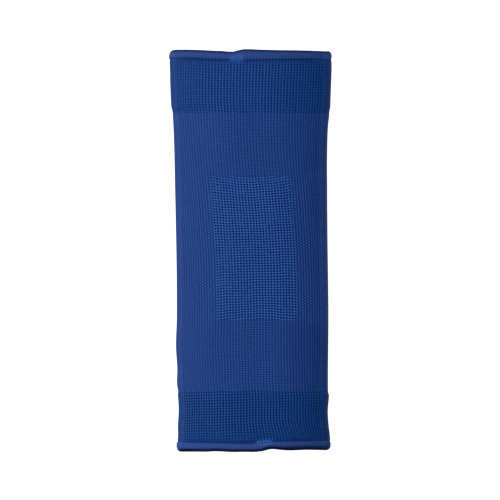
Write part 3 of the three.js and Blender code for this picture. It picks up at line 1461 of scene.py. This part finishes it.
@dataclass(frozen=True)
class Welt:
    """A rolled hem of plain knit that ends the sleeve, and strays with its seam."""

    form: SleeveForm
    end: SleeveEnd
    peek: float
    look: KnitFinish = WELT_KNIT
    proud: float = 1.1 * MM
    bite: float = 0.4
    # Painted shade over the whole hem, to the right, on the folds, inside the back wall, along the seam and
    # at the free edge; the right fold's share below 0 is painted light.
    painted_shade: float = 0.0
    right_side: Range = (0.0, 40 * MM)
    right_painted_shade: float = 0.0
    fold_painted_shades: LeftRight = (0.17, -0.1)
    inner_painted_shade: float = 0.45
    inner_turn: float = 0.3
    seam_painted_shade: float = 0.0
    seam_share: float = 0.22
    seam_on_flank: float = 0.3
    edge_painted_shade: float = 0.6
    dark_from: float = 0.84
    dark_to: float = 0.97
    dark_right: float = 0.0
    steps: int = 24
    per_wale: int = 6
    rounds: float = 3.0
    curl: float = 0.8 * MM
    seam_fullness: float = 0.65
    full_turn: Range = (-0.2, 0.8)

    def depths(self, wale: Array, angle: Array, crown: Array, tack: Array) -> Array:
        """Finds the depths of the oval's points under the outer face.

        Round the oval by an angle, the depth goes as one less the sine. At the side folds and at the tack
        the sine is raised to a small power beside the seam, which leaves no notch there. The curl adds to
        the depth as the cube of the way to the free edge, and the ribs show on the outer side.

        Args:
            wale: Wale numbers.
            angle: Angles round the oval, from the seam over the outer side.
            crown: Shares of the crown.
            tack: Shares of the tack.

        Returns:
            Depths.
        """
        sine, cosine = np.sin(angle), np.cos(angle)
        ribs = self.look.depth * hollow(wale, np.zeros_like(wale), self.look.knit) * (0.5 + 0.5 * sine)
        full = np.maximum(1 - crown, tack) * smoothstep(*self.full_turn, cosine)
        lift = np.sign(sine) * np.abs(sine) ** (1 - self.seam_fullness * full)
        thick = (self.form.wall + self.proud) / 2
        return thick * (1 - lift) + ribs + self.curl * ((1 - cosine) / 2) ** 3

    def painted_shades(self, points: Array, angle: Array, crown: Array, fold: Array) -> Array:
        """Finds the painted shade on the knit: at its edge and seam, inside, on the folds and to the right.

        Args:
            points: The hem's points.
            angle: Angles round the oval, from the seam over the outer side.
            crown: Shares of the crown.
            fold: Shares of the side folds.

        Returns:
            Painted shades, 0 where the knit keeps its colour, and less than 0 for painted light at the tack
            and on the right fold.
        """
        across, along, height = np.moveaxis(points, -1, 0)
        way = (1 - np.cos(angle)) / 2
        to_right = smoothstep(*self.right_side, across)
        # Painted shade at the free edge.
        at_edge = self.edge_painted_shade * smoothstep(self.dark_from - self.dark_right * to_right, self.dark_to, way)
        # Painted shade inside the back wall.
        inside = self.inner_painted_shade * smoothstep(0, self.inner_turn, -np.sin(angle))
        on_front = self.seam_on_flank + (1 - self.seam_on_flank) * crown
        # Painted shade along the seam.
        at_seam = self.seam_painted_shade * (1 - smoothstep(0, self.seam_share, way)) * on_front
        tack = self.end.at_tack(across, along) * self.form.front_share(height)
        # Painted light at the tack.
        at_seam = at_seam * (1 - tack) - self.end.tack_painted_light * tack
        # Painted shade on the left fold and painted light on the right one.
        at_fold = np.where(across < 0, *self.fold_painted_shades) * fold
        kept = (1 - self.painted_shade - self.right_painted_shade * to_right) * (1 - at_fold)
        return 1 - kept * (1 - at_edge) * (1 - at_seam) * (1 - inside)

    def build(self) -> bpy.types.Object:
        """Builds the hem: an oval carried round the sleeve's end, whose free edge curls in and wanders.

        Round the oval by an angle, a point's way from the seam to the free edge goes as one less the
        cosine. The front edge stays behind the back's, which peeks out under it.

        Returns:
            The piece.
        """
        form, end = self.form, self.end
        angle = np.linspace(0, TURN, self.steps, endpoint=False)[:, None]
        wale = form.all_wales(self.per_wale)
        places = np.full_like(angle, (end.seam + end.tip) / 2)
        crown = form.crown_share(wale, places)
        fold = form.fold_share(wale, places)
        tack = end.at_tack(form.face(wale, places)[..., 0], end.seam) * crown
        points = form.face(wale, places, self.depths(wale, angle, crown, tack), self.proud)
        front = form.front_share(points[..., 2])
        strayed = end.sway.read(points[..., 0]) * front
        drop = end.edge.read(points[..., 0]) + self.peek * front
        reach = abs(end.tip - end.seam) + strayed - drop
        points[..., 1] = end.seam + end.outwards * (reach * (1 - np.cos(angle)) / 2 - strayed)
        skin = Skin()
        course = self.rounds * angle / TURN
        skin.ring(points, wale, course, form.wales, self.rounds, flip=end.side is Side.UPPER)
        bite = np.full(points.shape[:2], self.bite)
        # Painted shade and light on the hem.
        marks = {Mark.WALE: bite, Mark.PAINTED_SHADE: self.painted_shades(points, angle, crown, fold), Mark.FOLD: fold}
        node = end.node("welt")
        return finish_piece(skin.object(node + "_knit", marks), node, self.look)


@dataclass(frozen=True)
class Tack:
    """A bar of zigzag stitches over the seam between a cuff and its welt."""

    form: SleeveForm
    end: SleeveEnd
    turn: float
    strokes: int
    look: KnitFinish = TACK_THREAD
    thread: float = 0.42 * MM
    width: float = 2.0 * MM
    per_stroke: int = 12
    per_ply: int = 4
    sides: int = 8
    sharpness: float = 0.985
    sink: float = 0.5 * MM
    sink_power: int = 4
    seat: float = 0.8 * MM
    out_shift: float = 0.15
    back_shift: float = -0.6
    back_sway: float = 0.12
    back_dip: float = 0.4

    def zigzag(self, share: Array) -> Array:
        """To and fro across the bar, from -1 to 1, with a short turn at each end of a stroke."""
        return np.arcsin(self.sharpness * np.sin(math.pi * self.strokes * share)) * 2 / math.pi

    def route(self) -> Array:
        """Finds the thread's middle line: zigzags that dip at each turn, and a running stitch back.

        The line is laid out flat, turned a little about the upright and set on the crown.

        Returns:
            Points of a closed line.
        """
        low, high = (np.array(corner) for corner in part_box(self.end.node("tack")))
        length = (high - low)[0] - 2 * self.thread
        share = np.linspace(0, 1, self.strokes * self.per_stroke, endpoint=False)
        sway = self.zigzag(share)
        out_across = (self.out_shift + sway / 2) * self.width
        out_height = self.thread - self.sink * np.abs(sway) ** self.sink_power
        out = np.stack([(share - 0.5) * length, out_across, out_height], axis=-1)
        sway = self.zigzag(share + 0.5 / self.strokes)
        back_across = (self.back_shift + self.back_sway * sway) * self.width
        back_height = (self.back_dip * sway - 1) * self.thread
        back = np.stack([(0.5 - share) * length, back_across, back_height], axis=-1)
        cosine, sine = math.cos(self.turn), math.sin(self.turn)
        turned = np.array([[cosine, sine, 0], [-sine, cosine, 0], [0, 0, 1]])
        middle = (low + high) / 2
        path = np.concatenate([out, back]) @ turned + (middle[0], middle[1], self.seat)
        path[:, 2] += self.form.crown_height(path[:, 0], path[:, 1])
        return path

    def build(self) -> bpy.types.Object:
        """Carries a round thread along the route as a closed tube.

        Returns:
            The piece.
        """
        path = self.route()
        ahead = np.roll(path, -1, axis=0) - np.roll(path, 1, axis=0)
        ahead /= np.linalg.norm(ahead, axis=1, keepdims=True)
        side = np.cross(ahead, (0.0, 0.0, 1.0))
        side /= np.linalg.norm(side, axis=1, keepdims=True)
        up = np.cross(side, ahead)
        angle = np.linspace(0, TURN, self.sides, endpoint=False)[None, :, None]
        points = path[:, None] + self.thread * (np.cos(angle) * side[:, None] + np.sin(angle) * up[:, None])
        round_it = np.arange(self.sides)[None, :] / self.sides
        ply = np.arange(len(path))[:, None] / self.per_ply
        skin = Skin()
        skin.ring(points, round_it, ply, 1.0, len(path) / self.per_ply)
        node = self.end.node("tack")
        marks = {Mark.WALE: np.ones(points.shape[:2])}
        return finish_piece(skin.object(node + "_thread", marks), node, self.look)


@dataclass(frozen=True)
class Lamp:
    """A soft square lamp aimed at the guard."""

    name: str
    place: Tuple[float, float, float]
    size: float
    watts: float

    def build(self) -> None:
        """Adds the lamp to the scene."""
        light = bpy.data.lights.new(self.name, "AREA")
        light.size = self.size
        light.energy = self.watts
        made = bpy.data.objects.new(self.name, light)
        made.location = self.place
        made.rotation_mode = "QUATERNION"
        made.rotation_quaternion = made.location.to_track_quat("Z", "Y")
        bpy.context.scene.collection.objects.link(made)


@dataclass(frozen=True)
class Studio:
    """A pale table, soft light from the left and a camera straight above."""

    key: Lamp = Lamp("key", place=(-2.318, 0.42, 1.775), size=1.5, watts=98.5)
    sky: float = 0.417
    table_reach: float = 10.0
    sweep_reach: float = 12.2
    sweep_height: float = 0.12
    table_gap: float = 0.05 * MM
    table_colour: Colour = (0.12, 0.12, 0.12)
    table_roughness: float = 0.9
    table_gloss: float = 0.1
    table_glow: float = 1.0
    frame_width: float = 397.1 * MM
    frame_centre: Tuple[float, float] = (-0.44 * MM, 0.4 * MM)
    filter_width: float = 1.25
    edge_height: float = 9 * MM
    camera_height: float = 5.0
    sensor: float = 36.0

    def table(self) -> None:
        """Lays the table just under the guard, with a far border that sweeps up to close low views."""
        ring = np.array([(-1, -1, 0), (1, -1, 0), (1, 1, 0), (-1, 1, 0)], float)
        flat = ring * self.table_reach - (0, 0, self.table_gap)
        sweep = ring * self.sweep_reach + (0, 0, self.sweep_height)
        first = np.arange(len(ring))
        second = np.roll(first, -1)
        border = np.stack([first, first + len(ring), second + len(ring), second], axis=1)
        mesh = bpy.data.meshes.new("table")
        mesh.from_pydata(np.concatenate([flat, sweep]).tolist(), [], [first.tolist(), *border.tolist()])
        graph = Graph("table_white")
        paint = {
            "Base Color": opaque(self.table_colour),
            "Roughness": self.table_roughness,
            "Specular IOR Level": self.table_gloss,
            "Emission Color": opaque(WHITE),
            "Emission Strength": self.table_glow,
        }
        shader = graph.node("BsdfPrincipled", {}, paint)
        graph.node("OutputMaterial", {}, {"Surface": shader.outputs[0]})
        mesh.materials.append(graph.material)
        made = bpy.data.objects.new("table", mesh)
        bpy.context.scene.collection.objects.link(made)

    def camera(self) -> None:
        """Hangs the camera over the guard, so that the frame's width fits at the side folds' height."""
        lens = bpy.data.cameras.new("camera")
        lens.sensor_width = self.sensor
        lens.lens = self.sensor * (self.camera_height - self.edge_height) / self.frame_width
        made = bpy.data.objects.new("camera", lens)
        made.location = (*self.frame_centre, self.camera_height)
        bpy.context.scene.collection.objects.link(made)
        bpy.context.scene.camera = made

    def build(self) -> None:
        """Sets the table, lamp, sky, camera and colour."""
        scene = bpy.context.scene
        self.table()
        self.key.build()
        world = bpy.data.worlds.new("studio")
        world.use_nodes = True
        sky = world.node_tree.nodes["Background"]
        sky.inputs["Color"].default_value = opaque(WHITE)
        sky.inputs["Strength"].default_value = self.sky
        scene.world = world
        self.camera()
        scene.view_settings.view_transform = "Standard"
        scene.cycles.filter_width = self.filter_width


def declare_sheets(form: SleeveForm) -> None:
    """Works out the girth of the cloth pieces at their middles, which nothing uses.

    Args:
        form: The sleeve's form, which the girths come from.
    """
    trims = {
        "upper_cuff": ("upper_welt", "upper_tack"),
        "lower_cuff": ("lower_welt", "lower_tack"),
        "sleeve_body": (),
    }
    for node, trim in trims.items():
        low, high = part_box(node)
        girth = float(form.girth(np.array((low.y + high.y) / 2)))


def main() -> None:
    """Builds the guard piece by piece, then the studio."""
    logging.basicConfig(level=logging.INFO, format="%(name)s: %(message)s")
    form, panel = SleeveForm(), PanelPlace()
    upper = SleeveEnd(Side.UPPER, SmoothTable.of(UPPER_EDGE), SmoothTable.of(UPPER_SWAY))
    lower = SleeveEnd(Side.LOWER, SmoothTable.of(LOWER_EDGE), SmoothTable.of(LOWER_SWAY))
    # The cuffs and welts below carry painted shade, and painted light where the values fall below 0.
    upper_cuff = Cuff(
        form,
        upper,
        Courses(UPPER_CUFF_GAUGE),
        blend=6 * MM,
        crown_blend=9 * MM,
        bite=0.71,
        flank_bites=(0.52, 0.85),
        painted_shade=-0.07,
        side_painted_shades=(0.08, 0.125),
        fold_painted_shades=(0.16, -0.1),
        seam_painted_shade=0.28,
    )
    lower_cuff = Cuff(
        form,
        lower,
        Courses(LOWER_CUFF_GAUGE),
        blend=4 * MM,
        crown_blend=6 * MM,
        plain_band=1.8 * MM,
        calm_fade=0.5,
        flank_bites=(0.8, 0.8),
        bar_bites=(1.5, 0.85),
        painted_shade=0.085,
        side_painted_shades=(-0.03, 0.02),
        pull=2.5 * MM,
        pull_across=20 * MM,
    )
    upper_welt = Welt(
        form,
        upper,
        peek=0.4 * MM,
        painted_shade=0.08,
        right_painted_shade=0.08,
        seam_painted_shade=0.2,
        dark_from=0.68,
        dark_to=0.92,
        fold_painted_shades=(0.15, -0.3),
    )
    parts = {
        "sleeve_body": SleeveBody(form, panel),
        "knee_panel": KneePanel(form, panel),
        "upper_cuff": upper_cuff,
        "lower_cuff": lower_cuff,
        "upper_welt": upper_welt,
        "lower_welt": Welt(form, lower, peek=2.3 * MM, dark_right=0.3, right_painted_shade=0.17),
        "upper_tack": Tack(form, upper, turn=0.12, strokes=8),
        "lower_tack": Tack(form, lower, turn=0.05, strokes=10),
    }
    pieces = {node: part.build() for node, part in parts.items()}
    declare_sheets(form)
    Studio().build()


if __name__ == "__main__":
    main()
